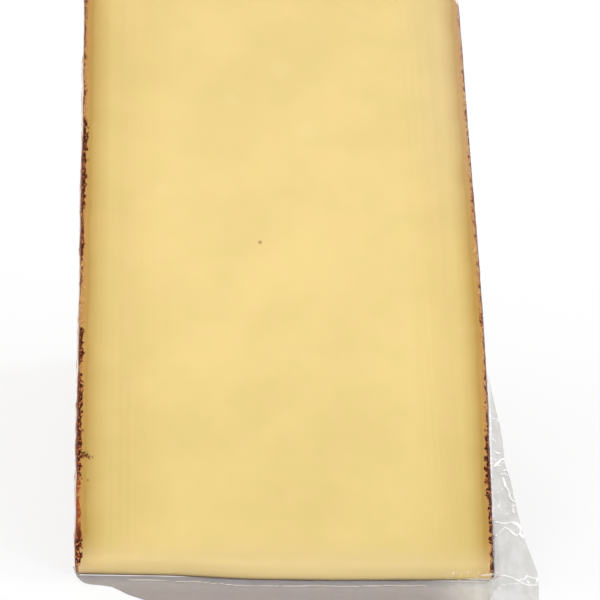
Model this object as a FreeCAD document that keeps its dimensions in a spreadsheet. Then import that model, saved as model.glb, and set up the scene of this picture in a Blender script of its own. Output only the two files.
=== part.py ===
"""A wedge of alpine cheese, an eighth of a wheel, drawn tight in a clear vacuum pouch.

The wheel's axis runs along X, just inside the wedge's point.  The wedge rests on its lower cut
face, point towards -Y and rim towards +Y, so the upper cut face slopes up and back.  The pouch
hugs it all round.  Its two walls lie on each other in a web that leaves the cheese in the middle
plane between the two cuts, and turns down onto the table in front of the point.

Everything is built with the wheel's axis on the X axis.  At the end it is set down, with the
underside of the pouch on Z 0 and the middle of the whole object over the origin.
"""

import FreeCAD
import Part
import math
import os

import Sketcher

# The driving dimensions, in millimetres and degrees.  Each is one cell of the sheet.
SIZES = (
    # the wheel and the cut
    ("wheel_radius", 163.0),  # from the axis to the crown of the rim
    ("wheel_height", 88.0),  # across its two flat sides
    ("sector_angle", 45.0),  # an eighth of a wheel
    ("cut_offset", 0.2),  # how far each cut passes outside the wheel's axis
    ("rim_bulge", 5.0),  # how far the rim swells between its shoulders
    ("shoulder_radius", 10.0),  # where the sides turn into the rim
    ("side_dish", 1.8),  # how far the right side sinks towards the axis
    ("hub_radius", 10.0),  # the level middle of that sunken side
    ("dish_radius", 72.0),  # where the sinking starts
    ("point_radius", 2.6),  # the blunted point
    ("arris_radius", 1.1),  # the softened edges of both cuts
    # the pouch
    ("film_gap", 0.1),  # between cheese and film
    ("film_wall", 0.3),  # one wall
    ("web_wall", 0.6),  # two walls lying on each other
    ("web_bend", 12.0),  # bend from the middle plane to the table
    ("front_web", 34.0),  # from the wheel's axis to the pouch's open end
    ("lobe_start", 2.8),  # how far behind the axis the web's left side starts to curl in
    ("lobe_radius", 3.6),  # that curl, to where it runs level
    ("lobe_run", 2.6),  # the level run
    ("tuck_radius", 4.0),  # bend from there into the corner that is turned under
    ("tuck_angle", 40.0),  # slant of that corner
    ("corner_radius", 6.0),  # rounded corners of the web
    ("ear_width", 6.2),  # web standing out of the right side
    ("ear_flare", 7.6),  # the same beside the point
    ("flare_length", 14.0),  # over which it narrows from one to the other
    ("ear_length", 122.0),  # from the axis to the ear's far end
    ("ear_fade", 42.0),  # over which that end runs out
    ("back_web", 17.0),  # web standing out behind the rim
    ("back_inset", 7.0),  # how far it stops short of each side
    ("seal_band", 7.0),  # from the first to the last rib of a heat seal
    ("seal_edge", 4.0),  # from the last rib to the edge of the web
    ("seal_ribs", 5.0),
    ("rib_width", 0.8),
    ("rib_height", 0.12),  # how far a rib stands out of the web
)

# Sketcher's numbers for its own axes and origin, and for the points of an edge.
H_AXIS, V_AXIS = -1, -2
START, END, CENTRE = 1, 2, 3
ORIGIN = (H_AXIS, START)

# Expressions that several sub-parts share.
HALF_HEIGHT = "Sizes.wheel_height / 2"
SKIN = "(Sizes.film_gap + Sizes.film_wall)"
TABLE = f"(Sizes.cut_offset + {SKIN})"  # from the axis down to the table
TILT = "(Sizes.sector_angle / 2)"
POINT_CENTRE = f"((Sizes.point_radius - Sizes.cut_offset) / sin({TILT}))"


def make_sheet(doc):
    """The spreadsheet that holds every driving dimension, one aliased cell each."""
    sheet = doc.addObject("Spreadsheet::Sheet", "Sizes")
    for row, (name, value) in enumerate(SIZES, start=1):
        sheet.set(f"A{row}", name)
        sheet.set(f"B{row}", str(value))
        sheet.setAlias(f"B{row}", name)
    doc.recompute()
    return sheet


def new_body(doc, name, tilt=None):
    """A body, turned about the X axis by an expression in degrees where one is given."""
    body = doc.addObject("PartDesign::Body", name)
    if tilt:
        body.Placement = FreeCAD.Placement(
            FreeCAD.Vector(), FreeCAD.Rotation(FreeCAD.Vector(1, 0, 0), 1)
        )
        body.setExpression("Placement.Rotation.Angle", tilt)
    return body


class Outline:
    """A closed sketch on one of a body's origin planes, with its sizes tied to the sheet."""

    def __init__(self, body, name, role):
        self.sketch = body.newObject("Sketcher::SketchObject", name)
        plane = next(f for f in body.Origin.OriginFeatures if f.Role == role)
        self.sketch.AttachmentSupport = [(plane, "")]
        self.sketch.MapMode = "FlatFace"

    def line(self, x0, y0, x1, y1):
        start, end = FreeCAD.Vector(x0, y0, 0), FreeCAD.Vector(x1, y1, 0)
        return self.sketch.addGeometry(Part.LineSegment(start, end), False)

    def arc(self, x, y, radius, start, end):
        """An arc about a centre, counter-clockwise between two angles in degrees."""
        circle = Part.Circle(FreeCAD.Vector(x, y, 0), FreeCAD.Vector(0, 0, 1), radius)
        span = Part.ArcOfCircle(circle, math.radians(start), math.radians(end))
        return self.sketch.addGeometry(span, False)

    def tie(self, kind, *where):
        self.sketch.addConstraint(Sketcher.Constraint(kind, *where))

    def size(self, expression, kind, *where):
        """A constraint whose value comes from the sheet."""
        value = number(self.sketch, expression)
        if kind == "Angle":
            value = math.radians(value)
        index = self.sketch.addConstraint(Sketcher.Constraint(kind, *where, value))
        self.sketch.setExpression(f"Constraints[{index}]", expression)

    def right(self, expression, *where):
        self.size(expression, "DistanceX", *where)

    def up(self, expression, *where):
        self.size(expression, "DistanceY", *where)


def number(sizes, expression):
    """The present value of an expression, in millimetres or degrees."""
    value = sizes.evalExpression(expression)
    return float(getattr(value, "Value", value))


def swing(length, step):
    """Radius and angle, in degrees, of an arc that runs a length while it steps aside."""
    radius = (length**2 + step**2) / (2 * step)
    return radius, math.degrees(math.asin(length / radius))


def wheel_section(body, sizes, grow):
    """Half of the wheel's section on the XY plane, grown all round by an expression.

    It is drawn on the -Y side of the axis, so that the seam of the turned surfaces falls in the
    part of the wheel that is cut away.
    """
    extra = number(sizes, grow)
    half = sizes.wheel_height / 2 + extra
    hub_x = half - sizes.side_dish
    reach = (sizes.dish_radius - sizes.hub_radius) / 2
    sweep, turn = swing(reach, sizes.side_dish / 2)
    bulge, _ = swing(sizes.wheel_height / 2, sizes.rim_bulge)
    crown = bulge - sizes.wheel_radius
    shoulder = sizes.shoulder_radius + extra
    rim_radius = bulge + extra
    lean = math.asin((half - shoulder) / (rim_radius - shoulder))
    shoulder_y = crown - (rim_radius - shoulder) * math.cos(lean)
    left, right = 270 - math.degrees(lean), 270 + math.degrees(lean)

    draw = Outline(body, body.Name + "Section", "XY_Plane")
    axis = draw.line(-half, 0, hub_x, 0)
    hub = draw.line(hub_x, 0, hub_x, -sizes.hub_radius)
    sink_in = draw.arc(hub_x + sweep, -sizes.hub_radius, sweep, 180, 180 + turn)
    sink_out = draw.arc(half - sweep, -sizes.dish_radius, sweep, 0, turn)
    side_right = draw.line(half, -sizes.dish_radius, half, shoulder_y)
    turn_right = draw.arc(half - shoulder, shoulder_y, shoulder, right, 360)
    rim = draw.arc(0, crown, rim_radius, left, right)
    turn_left = draw.arc(shoulder - half, shoulder_y, shoulder, 180, left)
    side_left = draw.line(-half, shoulder_y, -half, 0)

    # A Tangent or a Perpendicular that names two points also joins them.
    draw.tie("Coincident", axis, END, hub, START)
    draw.tie("Tangent", hub, END, sink_in, START)
    draw.tie("Tangent", sink_in, END, sink_out, END)
    draw.tie("Tangent", sink_out, START, side_right, START)
    draw.tie("Tangent", side_right, END, turn_right, END)
    draw.tie("Tangent", turn_right, START, rim, END)
    draw.tie("Tangent", rim, START, turn_left, END)
    draw.tie("Tangent", turn_left, START, side_left, START)
    draw.tie("Coincident", side_left, END, axis, START)
    draw.tie("Vertical", hub)
    draw.tie("Vertical", side_left)
    draw.tie("Vertical", side_right)
    draw.tie("PointOnObject", axis, START, H_AXIS)
    draw.tie("PointOnObject", axis, END, H_AXIS)
    draw.tie("PointOnObject", rim, CENTRE, V_AXIS)
    draw.tie("Equal", sink_in, sink_out)
    draw.tie("Equal", turn_left, turn_right)

    bulge_radius = f"(({HALF_HEIGHT})^2 + Sizes.rim_bulge^2) / (2 * Sizes.rim_bulge)"
    draw.right(f"{HALF_HEIGHT} + {grow}", axis, START, *ORIGIN)
    draw.right(f"{HALF_HEIGHT} + {grow}", *ORIGIN, side_right, END)
    draw.right(f"{HALF_HEIGHT} + {grow} - Sizes.side_dish", *ORIGIN, axis, END)
    draw.up("Sizes.hub_radius", hub, END, *ORIGIN)
    draw.up("Sizes.dish_radius", side_right, START, *ORIGIN)
    draw.size(f"{bulge_radius} + {grow}", "Radius", rim)
    draw.up(f"{bulge_radius} - Sizes.wheel_radius", *ORIGIN, rim, CENTRE)
    draw.size(f"Sizes.shoulder_radius + {grow}", "Radius", turn_right)
    return draw.sketch


def all_but_the_wedge(body, sizes, grow):
    """What is cut away of the whole wheel: all round the wedge, on the body's YZ plane."""
    outside = f"(Sizes.cut_offset + {grow})"
    offset = number(sizes, outside)
    tilt = math.radians(sizes.sector_angle / 2)
    beyond = 1.5 * sizes.wheel_radius
    point_y = -offset / math.tan(tilt)
    upper_y = point_y + (beyond + offset) / math.tan(2 * tilt)

    draw = Outline(body, body.Name + "Offcut", "YZ_Plane")
    lower_cut = draw.line(point_y, -offset, beyond, -offset)
    behind = draw.line(beyond, -offset, beyond, -beyond)
    below = draw.line(beyond, -beyond, -beyond, -beyond)
    before = draw.line(-beyond, -beyond, -beyond, beyond)
    above = draw.line(-beyond, beyond, upper_y, beyond)
    upper_cut = draw.line(upper_y, beyond, point_y, -offset)
    lines = (lower_cut, behind, below, before, above, upper_cut)
    for line, following in zip(lines, lines[1:] + lines[:1]):
        draw.tie("Coincident", line, END, following, START)
    for line in (lower_cut, below, above):
        draw.tie("Horizontal", line)
    for line in (behind, before):
        draw.tie("Vertical", line)
    draw.right(f"{outside} / tan({TILT})", lower_cut, START, *ORIGIN)
    draw.up(outside, lower_cut, START, *ORIGIN)
    draw.size("Sizes.sector_angle", "Angle", lower_cut, START, upper_cut, END)
    beyond = "1.5 * Sizes.wheel_radius"
    draw.right(beyond, *ORIGIN, below, START)
    draw.up(beyond, below, START, *ORIGIN)
    draw.right(beyond, before, END, *ORIGIN)
    draw.up(beyond, *ORIGIN, before, END)
    return draw.sketch


def from_line(point, y, z):
    """How far a point lies from a line along X."""
    return math.hypot(point.y - y, point.z - z)


def make_wedge(doc, sizes, name, grow):
    """The wedge, grown all round by an expression: the wheel, less the rest, softened after."""
    body = new_body(doc, name)
    section = wheel_section(body, sizes, grow)
    doc.recompute()
    wheel = body.newObject("PartDesign::Revolution", name + "Wheel")
    wheel.Profile = section
    wheel.ReferenceAxis = (section, ["H_Axis"])
    wheel.Angle = 360
    doc.recompute()

    cut = body.newObject("PartDesign::Pocket", name + "Cut")
    cut.Profile = all_but_the_wedge(body, sizes, grow)
    cut.SideType = "Symmetric"
    cut.setExpression("Length", f"2 * (Sizes.wheel_height + {grow})")
    doc.recompute()

    extra = number(sizes, grow)
    offset = sizes.cut_offset + extra
    angle = math.radians(sizes.sector_angle)
    knife_line = (-offset / math.tan(angle / 2), -offset)
    point = body.newObject("PartDesign::Fillet", name + "Point")
    knife_edge = [
        f"Edge{index}"
        for index, edge in enumerate(cut.Shape.Edges, start=1)
        if edge.Length > sizes.wheel_height / 2 and from_line(edge.CenterOfMass, *knife_line) < 0.001
    ]
    point.Base = (cut, knife_edge)
    point.setExpression("Radius", f"Sizes.point_radius + {grow}")
    doc.recompute()

    # Both cuts meet the rind in one closed line, which rounds the point at each side.
    point_end = (sizes.point_radius + extra) / math.tan(angle / 2) * 1.001
    rind_line = []
    for index, edge in enumerate(point.Shape.Edges, start=1):
        samples = edge.discretize(5)
        at_point = all(from_line(p, *knife_line) < point_end for p in samples)
        crosses = abs(samples[0].x - samples[-1].x) > sizes.wheel_height / 2
        on_lower = all(abs(p.z + offset) < 0.001 for p in samples)
        on_upper = all(
            abs(p.z * math.cos(angle) - p.y * math.sin(angle) - offset) < 0.001 for p in samples
        )
        if (on_lower or on_upper or at_point) and not (at_point and crosses):
            rind_line.append(f"Edge{index}")
    soft = body.newObject("PartDesign::Fillet", name + "Arrises")
    soft.Base = (point, rind_line)
    soft.setExpression("Radius", f"Sizes.arris_radius + {grow}")
    body.Tip = soft
    doc.recompute()
    return body


def add_seal(body, expressions):
    """Ribs of a heat seal, across a web: one box, repeated towards the web's edge."""
    rib = body.newObject("PartDesign::AdditiveBox", body.Name + "Rib")
    plane = next(f for f in body.Origin.OriginFeatures if f.Role == "XY_Plane")
    rib.AttachmentSupport = [(plane, "")]
    rib.MapMode = "FlatFace"
    for name, expression in expressions.items():
        rib.setExpression(name, expression)
    rib.setExpression("Width", "Sizes.rib_width")
    ribs = body.newObject("PartDesign::LinearPattern", body.Name + "Seal")
    axis = next(f for f in body.Origin.OriginFeatures if f.Role == "Y_Axis")
    ribs.Originals = [rib]
    ribs.Direction = (axis, [""])
    ribs.setExpression("Length", "Sizes.seal_band")
    ribs.setExpression("Occurrences", "Sizes.seal_ribs")
    body.Tip = ribs


def make_front_web(doc, sizes):
    """The web in front of the point: out of the middle plane, round a bend, along the table."""
    half = sizes.web_wall / 2
    table = -number(sizes, TABLE)
    tilt = math.radians(sizes.sector_angle / 2)
    run = sizes.web_bend * math.tan(tilt / 2)
    bend_y = (table + half) / math.tan(tilt) - run
    bend_z = table + half + sizes.web_bend
    root = number(sizes, POINT_CENTRE)
    turned = math.degrees(tilt) - 90

    def on_slope(along, above):
        """A point on the sloping stretch: along it from the axis, and above its middle."""
        y = along * math.cos(tilt) - above * math.sin(tilt)
        return y, along * math.sin(tilt) + above * math.cos(tilt)

    body = new_body(doc, "FrontWeb")
    draw = Outline(body, "WebSection", "YZ_Plane")
    slope_start = (table + half) / math.sin(tilt) + run
    under = draw.line(-sizes.front_web, table, bend_y, table)
    bend_under = draw.arc(bend_y, bend_z, sizes.web_bend + half, -90, turned)
    slope_under = draw.line(*on_slope(slope_start, -half), *on_slope(root, -half))
    root_end = draw.line(*on_slope(root, -half), *on_slope(root, half))
    slope_over = draw.line(*on_slope(root, half), *on_slope(slope_start, half))
    bend_over = draw.arc(bend_y, bend_z, sizes.web_bend - half, -90, turned)
    over = draw.line(bend_y, table + 2 * half, -sizes.front_web, table + 2 * half)
    front = draw.line(-sizes.front_web, table + 2 * half, -sizes.front_web, table)

    draw.tie("Tangent", under, END, bend_under, START)
    draw.tie("Tangent", bend_under, END, slope_under, START)
    draw.tie("Coincident", slope_under, END, root_end, START)
    draw.tie("Coincident", root_end, END, slope_over, START)
    draw.tie("Tangent", slope_over, END, bend_over, END)
    draw.tie("Tangent", bend_over, START, over, START)
    draw.tie("Coincident", over, END, front, START)
    draw.tie("Coincident", front, END, under, START)
    draw.tie("Coincident", bend_under, CENTRE, bend_over, CENTRE)
    draw.tie("Horizontal", under)
    draw.tie("Horizontal", over)
    draw.tie("Vertical", front)
    draw.tie("Parallel", slope_over, slope_under)
    draw.tie("Perpendicular", root_end, slope_under)
    draw.up(TABLE, under, START, *ORIGIN)
    draw.right("Sizes.front_web", under, START, *ORIGIN)
    draw.size("Sizes.web_wall", "DistanceY", front, END, front, START)
    draw.size("Sizes.web_bend - Sizes.web_wall / 2", "Radius", bend_over)
    draw.size(TILT, "Angle", H_AXIS, slope_under)
    draw.size("Sizes.web_wall / 2", "Distance", *ORIGIN, slope_under)
    draw.size(POINT_CENTRE, "Distance", *ORIGIN, root_end)

    web = body.newObject("PartDesign::Pad", "WebRun")
    web.Profile = draw.sketch
    web.SideType = "Symmetric"
    web.setExpression("Length", "Sizes.wheel_height + 4 * Sizes.ear_flare")
    doc.recompute()
    add_seal(
        body,
        {
            "Length": "Sizes.wheel_height + 2 * Sizes.ear_flare",
            "Height": "Sizes.web_wall / 2 + Sizes.rib_height",
            "AttachmentOffset.Base.x": "-Sizes.wheel_height / 2 - Sizes.ear_flare",
            "AttachmentOffset.Base.y": "Sizes.seal_edge - Sizes.front_web",
            "AttachmentOffset.Base.z": f"Sizes.web_wall / 2 - {TABLE}",
        },
    )
    doc.recompute()

    # The same web seen from above: its left side curls in and its corner is turned under.
    plan = new_body(doc, "FrontPlan")
    left = -(sizes.wheel_height / 2) - number(sizes, SKIN)
    right = sizes.wheel_height / 2 + sizes.ear_flare
    slant = math.radians(sizes.tuck_angle)
    corner = sizes.corner_radius
    front_y = -sizes.front_web
    back_y = root * math.cos(tilt)
    lobe = sizes.lobe_radius
    level = sizes.lobe_start - lobe
    run_end = left + lobe + sizes.lobe_run
    tuck_y = level - sizes.tuck_radius
    tuck_x = run_end + sizes.tuck_radius * math.cos(slant)
    bend_low = tuck_y + sizes.tuck_radius * math.sin(slant)
    toe = tuck_x + (bend_low - front_y) * math.tan(slant)
    ease = corner * math.tan((math.pi / 2 - slant) / 2)
    toe_y = front_y + ease * math.cos(slant)
    draw = Outline(plan, "WebPlan", "XY_Plane")
    side = draw.line(left, back_y, left, sizes.lobe_start)
    curl = draw.arc(left + lobe, sizes.lobe_start, lobe, 180, 270)
    along = draw.line(left + lobe, level, run_end, level)
    bend = draw.arc(run_end, tuck_y, sizes.tuck_radius, sizes.tuck_angle, 90)
    tuck = draw.line(tuck_x, bend_low, toe - ease * math.sin(slant), toe_y)
    turn_left = draw.arc(toe + ease, front_y + corner, corner, 180 + sizes.tuck_angle, 270)
    end = draw.line(toe + ease, front_y, right - corner, front_y)
    turn_right = draw.arc(right - corner, front_y + corner, corner, 270, 360)
    edge = draw.line(right, front_y + corner, right, back_y)
    back = draw.line(right, back_y, left, back_y)
    draw.tie("Tangent", side, END, curl, START)
    draw.tie("Tangent", curl, END, along, START)
    draw.tie("Tangent", along, END, bend, END)
    draw.tie("Tangent", bend, START, tuck, START)
    draw.tie("Tangent", tuck, END, turn_left, START)
    draw.tie("Tangent", turn_left, END, end, START)
    draw.tie("Tangent", end, END, turn_right, START)
    draw.tie("Tangent", turn_right, END, edge, START)
    draw.tie("Coincident", edge, END, back, START)
    draw.tie("Coincident", back, END, side, START)
    draw.tie("Vertical", side)
    draw.tie("Horizontal", along)
    draw.tie("Horizontal", end)
    draw.tie("Horizontal", back)
    draw.tie("Vertical", edge)
    draw.tie("Equal", turn_left, turn_right)
    draw.right(f"{HALF_HEIGHT} + {SKIN}", side, END, *ORIGIN)
    draw.up("Sizes.lobe_start", *ORIGIN, side, END)
    draw.size("Sizes.lobe_radius", "Radius", curl)
    draw.right("Sizes.lobe_run", along, START, along, END)
    draw.size("Sizes.tuck_radius", "Radius", bend)
    draw.size("90 - Sizes.tuck_angle", "Angle", tuck, H_AXIS)
    draw.right(f"{HALF_HEIGHT} + Sizes.ear_flare", *ORIGIN, edge, END)
    draw.up("Sizes.front_web", end, START, *ORIGIN)
    draw.up(f"{POINT_CENTRE} * cos({TILT})", *ORIGIN, side, START)
    draw.size("Sizes.corner_radius", "Radius", turn_right)

    cutter = plan.newObject("PartDesign::Pad", "PlanColumn")
    cutter.Profile = draw.sketch
    cutter.SideType = "Symmetric"
    cutter.setExpression("Length", "4 * Sizes.web_bend")
    doc.recompute()

    trimmed = doc.addObject("Part::Common", "FrontWebTrimmed")
    trimmed.Base = body
    trimmed.Tool = plan
    return trimmed


def make_ear(doc, sizes):
    """The web beside the right side, in the middle plane: flared at the point, run out behind."""
    half = sizes.wheel_height / 2
    inner = half - sizes.shoulder_radius
    outer = half + sizes.ear_width
    flared = half + sizes.ear_flare
    tilt = math.radians(sizes.sector_angle / 2)
    start = number(sizes, POINT_CENTRE) - sizes.point_radius
    narrow = start + sizes.flare_length
    fade = sizes.ear_length - sizes.ear_fade
    sweep, turn = swing(sizes.flare_length / 2, (flared - outer) / 2)
    fade_radius, fade_turn = swing(sizes.ear_fade, sizes.ear_width)

    body = new_body(doc, "SideEar", TILT)
    draw = Outline(body, "EarPlan", "XY_Plane")
    near = draw.line(inner, start, flared, start)
    flare_out = draw.arc(flared - sweep, start, sweep, 0, turn)
    flare_in = draw.arc(outer + sweep, narrow, sweep, 180, 180 + turn)
    edge = draw.line(outer, narrow, outer, fade)
    run_out = draw.arc(outer - fade_radius, fade, fade_radius, 0, fade_turn)
    far = draw.line(half, sizes.ear_length, inner, sizes.ear_length)
    inside = draw.line(inner, sizes.ear_length, inner, start)
    draw.tie("Perpendicular", near, END, flare_out, START)
    draw.tie("Tangent", flare_out, END, flare_in, END)
    draw.tie("Tangent", flare_in, START, edge, START)
    draw.tie("Tangent", edge, END, run_out, START)
    draw.tie("Coincident", run_out, END, far, START)
    draw.tie("Coincident", far, END, inside, START)
    draw.tie("Coincident", inside, END, near, START)
    draw.tie("Horizontal", near)
    draw.tie("Horizontal", far)
    draw.tie("Vertical", inside)
    draw.tie("Vertical", edge)
    draw.tie("Equal", flare_out, flare_in)
    draw.right(f"{HALF_HEIGHT} - Sizes.shoulder_radius", *ORIGIN, near, START)
    draw.right(f"{HALF_HEIGHT} + Sizes.ear_flare", *ORIGIN, near, END)
    draw.right(f"{HALF_HEIGHT} + Sizes.ear_width", *ORIGIN, edge, START)
    draw.right(HALF_HEIGHT, *ORIGIN, far, START)
    draw.up(f"{POINT_CENTRE} - Sizes.point_radius", *ORIGIN, near, START)
    draw.up("Sizes.flare_length", near, END, edge, START)
    draw.up("Sizes.ear_length", *ORIGIN, far, START)
    draw.up("Sizes.ear_fade", edge, END, far, START)

    ear = body.newObject("PartDesign::Pad", "Ear")
    ear.Profile = draw.sketch
    ear.SideType = "Symmetric"
    ear.setExpression("Length", "Sizes.web_wall")
    doc.recompute()
    return body


def make_back_web(doc, sizes):
    """The sealed web behind the rim, in the middle plane."""
    half = sizes.wheel_height / 2 - sizes.back_inset
    start = sizes.wheel_radius - sizes.rim_bulge - sizes.shoulder_radius
    end = sizes.wheel_radius + sizes.film_gap + sizes.film_wall + sizes.back_web
    corner = sizes.corner_radius

    body = new_body(doc, "BackWeb", TILT)
    draw = Outline(body, "BackPlan", "XY_Plane")
    near = draw.line(-half, start, half, start)
    right = draw.line(half, start, half, end - corner)
    turn_right = draw.arc(half - corner, end - corner, corner, 0, 90)
    far = draw.line(half - corner, end, corner - half, end)
    turn_left = draw.arc(corner - half, end - corner, corner, 90, 180)
    left = draw.line(-half, end - corner, -half, start)
    draw.tie("Coincident", near, END, right, START)
    draw.tie("Tangent", right, END, turn_right, START)
    draw.tie("Tangent", turn_right, END, far, START)
    draw.tie("Tangent", far, END, turn_left, START)
    draw.tie("Tangent", turn_left, END, left, START)
    draw.tie("Coincident", left, END, near, START)
    draw.tie("Horizontal", far)
    draw.tie("Vertical", right)
    draw.tie("Vertical", left)
    draw.tie("Symmetric", near, START, near, END, V_AXIS)
    draw.tie("Equal", turn_left, turn_right)
    draw.right("Sizes.wheel_height - 2 * Sizes.back_inset", near, START, near, END)
    draw.up(
        "Sizes.wheel_radius - Sizes.rim_bulge - Sizes.shoulder_radius", *ORIGIN, near, START
    )
    draw.up(f"Sizes.wheel_radius + {SKIN} + Sizes.back_web", *ORIGIN, far, START)
    draw.size("Sizes.corner_radius", "Radius", turn_right)

    web = body.newObject("PartDesign::Pad", "BackRun")
    web.Profile = draw.sketch
    web.SideType = "Symmetric"
    web.setExpression("Length", "Sizes.web_wall")
    doc.recompute()
    band_end = f"Sizes.wheel_radius + {SKIN} + Sizes.back_web - Sizes.seal_edge"
    add_seal(
        body,
        {
            "Length": "Sizes.wheel_height - 2 * Sizes.back_inset - Sizes.corner_radius",
            "Height": "Sizes.web_wall + 2 * Sizes.rib_height",
            "AttachmentOffset.Base.x": f"Sizes.back_inset + Sizes.corner_radius / 2 - {HALF_HEIGHT}",
            "AttachmentOffset.Base.y": f"{band_end} - Sizes.seal_band - Sizes.rib_width",
            "AttachmentOffset.Base.z": "-Sizes.web_wall / 2 - Sizes.rib_height",
        },
    )
    doc.recompute()
    return body


def make_pouch(doc, sizes):
    """The pouch: a skin round the wedge and the webs, less the space that the wedge fills."""
    inside = make_wedge(doc, sizes, "Inside", "Sizes.film_gap")
    outside = make_wedge(doc, sizes, "Outside", SKIN)
    webs = [make_front_web(doc, sizes), make_ear(doc, sizes), make_back_web(doc, sizes)]
    joined = doc.addObject("Part::MultiFuse", "SkinAndWebs")
    joined.Shapes = [outside, *webs]
    pouch = doc.addObject("Part::Cut", "Pouch")
    pouch.Label = "vacuum_pouch"
    pouch.Base = joined
    pouch.Tool = inside
    doc.recompute()
    return pouch


def set_down(doc, parts):
    """Moves the whole object so that it stands on Z 0 with its middle over the origin."""
    box = FreeCAD.BoundBox()
    for part in parts:
        box.add(part.Shape.optimalBoundingBox(False, False))
    shift = FreeCAD.Vector(-box.Center.x, -box.Center.y, -box.ZMin)
    for body in doc.findObjects("PartDesign::Body"):
        body.Placement.Base = shift
    doc.recompute()


def main():
    doc = FreeCAD.newDocument("CheeseWedge")
    sizes = make_sheet(doc)
    cheese = make_wedge(doc, sizes, "Cheese", "0")
    cheese.Label = "cheese_wedge"
    pouch = make_pouch(doc, sizes)
    parts = (cheese, pouch)
    set_down(doc, parts)

    failed = [o.Name for o in doc.Objects if {"Invalid", "Error"} & set(o.State)]
    if failed:
        raise RuntimeError(f"these objects failed: {failed}")
    for part in parts:
        if part.Shape.isNull() or not part.Shape.isValid():
            raise RuntimeError(f"{part.Label} has no valid shape")
        if len(part.Shape.Solids) != 1:
            raise RuntimeError(f"{part.Label} is not one solid")

    os.makedirs("parts", exist_ok=True)
    for part in parts:
        part.Shape.exportStep(f"parts/{part.Label}.step")
        box = part.Shape.optimalBoundingBox(False, False)
        print(part.Label, round(part.Shape.Volume), box)


main()
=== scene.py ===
"""Looks of a wedge of alpine cheese, an eighth of a wheel, drawn tight in a clear vacuum pouch.

The wheel's axis runs along X.  Shapes and materials are worked out in the wedge's own coordinates:
x across the wheel from its middle plane, y and z from the wheel's axis.  Meshes count in metres.
Outlines, creases and materials count in millimetres.
"""

import math

import bmesh
import bpy
import numpy as np
from mathutils import Matrix, Vector, noise


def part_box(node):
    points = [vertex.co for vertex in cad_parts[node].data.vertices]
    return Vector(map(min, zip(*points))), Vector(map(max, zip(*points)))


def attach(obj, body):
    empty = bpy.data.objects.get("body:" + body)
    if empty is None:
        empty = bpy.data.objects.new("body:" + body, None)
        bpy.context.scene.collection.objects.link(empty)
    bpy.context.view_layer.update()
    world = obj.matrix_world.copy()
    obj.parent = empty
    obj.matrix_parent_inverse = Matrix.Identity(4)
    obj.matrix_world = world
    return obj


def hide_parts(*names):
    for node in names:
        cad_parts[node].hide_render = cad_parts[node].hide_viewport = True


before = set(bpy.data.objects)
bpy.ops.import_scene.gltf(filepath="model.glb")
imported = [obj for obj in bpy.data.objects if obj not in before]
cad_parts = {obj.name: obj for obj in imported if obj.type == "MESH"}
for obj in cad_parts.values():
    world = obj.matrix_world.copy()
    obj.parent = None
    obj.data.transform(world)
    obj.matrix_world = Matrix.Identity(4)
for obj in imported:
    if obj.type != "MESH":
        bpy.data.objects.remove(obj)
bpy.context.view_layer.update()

MM = 0.001

# ---------------------------------------------------------------- sizes of the wheel and the cut
WHEEL_RADIUS = 163 * MM
RIM_BULGE = 5 * MM
SHOULDER = 10 * MM
SECTOR = math.radians(45)
CUT_OFFSET = 0.2 * MM
POINT_RADIUS = 2.6 * MM
ARRIS = 0.45 * MM  # the softened edges of both cuts
SIDE_DISH = 2.0 * MM  # how far the right side sinks towards the point
DISH_RADIUS = 66 * MM  # where the sinking starts
DISH_POWER = 1.3
LEFT_LEAN = 0.031  # how much the left side leans in, below the upper cut
LEFT_SET = 0.4 * MM  # how far in it starts, and half as much again at the point
POINT_POWER = 5.0  # 2 would leave the lower half of the point round
POINT_SWELL = 1.95 * MM  # how far the point stands out left of its middle, past its ends
POINT_SETBACK = 0.95 * MM  # how far its ends stand back
CHEESE_CELL = 0.65 * MM
CHEESE_KEPT = 0.58  # share of the faces that stays

# ---------------------------------------------------------------- sizes of the film
FILM_LIFT = 0.22 * MM  # the skin's middle above the cheese
SKIN_CELL = 0.92 * MM
SHEET = 0.2 * MM  # two films lying on each other
TABLE_GAP = 0.05 * MM  # under the web
WEB_BEND = 12 * MM  # from the middle plane to the table
WEB_CELL = 0.4 * MM

low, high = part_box("cheese_wedge")
HALF = (high.x - low.x) / 2
AXIS = Vector(((low.x + high.x) / 2, high.y - WHEEL_RADIUS, low.z + CUT_OFFSET))
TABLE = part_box("vacuum_pouch")[0].z - AXIS.z  # from the axis down to the table
UPPER_NORMAL = Vector((0, -math.sin(SECTOR), math.cos(SECTOR)))
MIDDLE = SECTOR / 2


# ================================================================ modelling helpers
def only(piece):
    """Selects this piece alone and makes it active."""
    bpy.ops.object.select_all(action="DESELECT")
    piece.select_set(True)
    bpy.context.view_layer.objects.active = piece


def name_new(name):
    """Names the primitive just added and sets it down: its place goes into its mesh."""
    piece = bpy.context.object
    piece.name = name
    piece.data.name = name
    only(piece)
    bpy.ops.object.transform_apply(location=True, rotation=True, scale=True)
    return piece


def edit(piece):
    """Goes into edit mode with this piece alone."""
    only(piece)
    bpy.ops.object.mode_set(mode="EDIT")


def leave():
    bpy.ops.object.mode_set(mode="OBJECT")


def pick_edges(piece, test):
    """In edit mode: selects the edges whose two ends pass the test, and nothing else."""
    bpy.ops.mesh.select_mode(type="EDGE")
    bpy.ops.mesh.select_all(action="DESELECT")
    mesh = bmesh.from_edit_mesh(piece.data)
    for edge in mesh.edges:
        if test(edge.verts[0].co - AXIS, edge.verts[1].co - AXIS):
            edge.select_set(True)
    bmesh.update_edit_mesh(piece.data)


def modify(piece, kind, **settings):
    """Adds a modifier with these settings and applies it."""
    only(piece)
    modifier = piece.modifiers.new(kind.title(), kind)
    for key, value in settings.items():
        setattr(modifier, key, value)
    bpy.ops.object.modifier_apply(modifier=modifier.name)


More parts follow.
